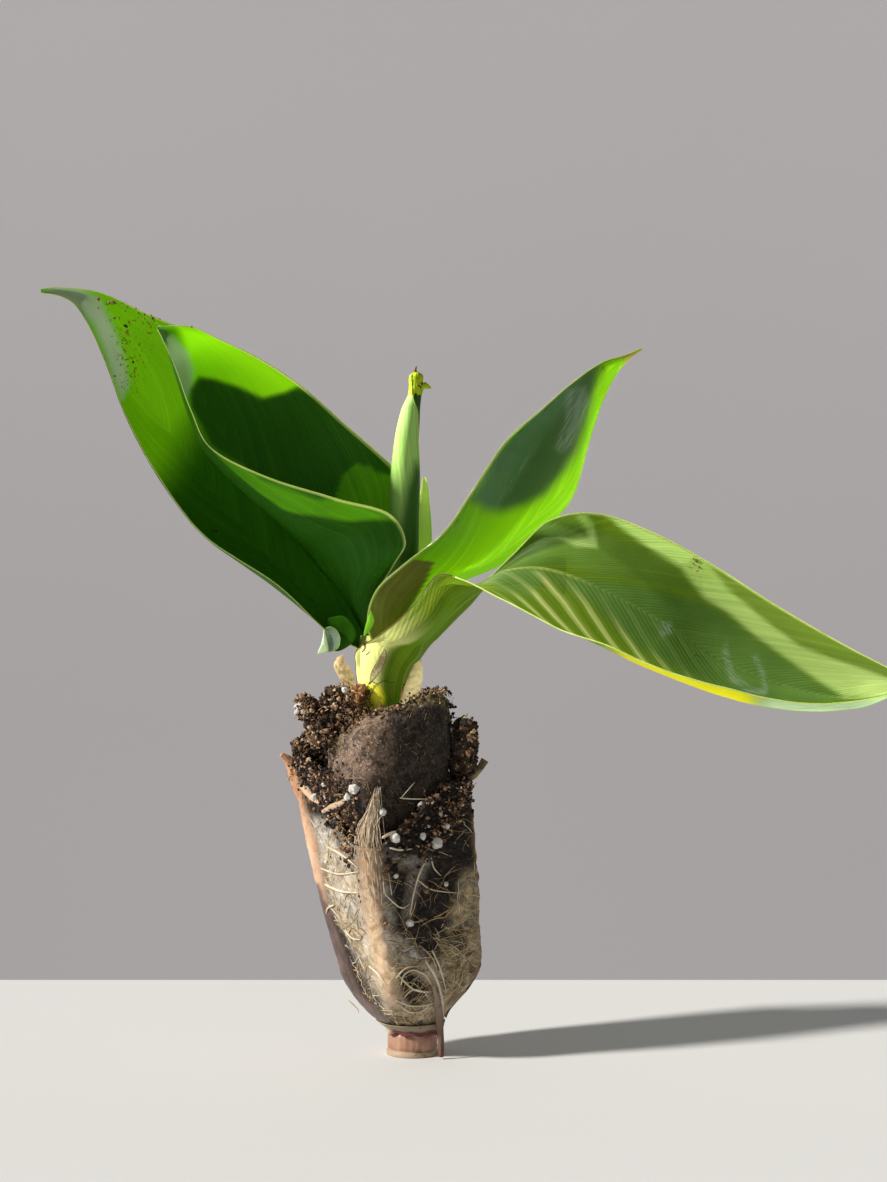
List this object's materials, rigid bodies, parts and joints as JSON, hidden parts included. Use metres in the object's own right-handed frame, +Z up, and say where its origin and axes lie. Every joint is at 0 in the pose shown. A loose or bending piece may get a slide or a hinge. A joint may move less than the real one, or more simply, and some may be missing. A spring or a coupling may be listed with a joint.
{
  "type": "canna lily plug plant",
  "caption": "Young canna lily with broad folded leaves on a short pale stem, standing on a tapered square root ball with a small round foot.",
  "frame": {"origin": "on the flat underside of the collar that the plant stands on, 0.7 mm to the right of its centre", "axes": "+X to the right in the front view, +Y away from the viewer, +Z up"},
  "size_m": [0.244, 0.0579, 0.2156],
  "materials": {
    "leaf": "waxy green",
    "spear": "waxy pale green",
    "stem": "satin pale green",
    "dry_sheath": "papery",
    "peat": "felted",
    "compost": "crumbly",
    "collar": "thin ribbed moulding",
    "film": "thin translucent",
    "twig": "rough"
  },
  "bodies": {
    "root": {"leaf_outer_left": "leaf", "leaf_inner_left": "leaf", "leaf_upper_right": "leaf", "stalk_far_right": "leaf", "leaf_far_right": "leaf", "leaf_spear": "spear", "leaf_bud": "spear", "stem": "stem", "dry_sheath_left": "dry_sheath", "dry_sheath_right": "dry_sheath", "peat_plug": "peat", "root_ball": "compost", "clod_left": "compost", "clod_right": "compost", "twig": "twig", "film_liner": "film", "collar": "collar"}
  },
  "joints": []
}
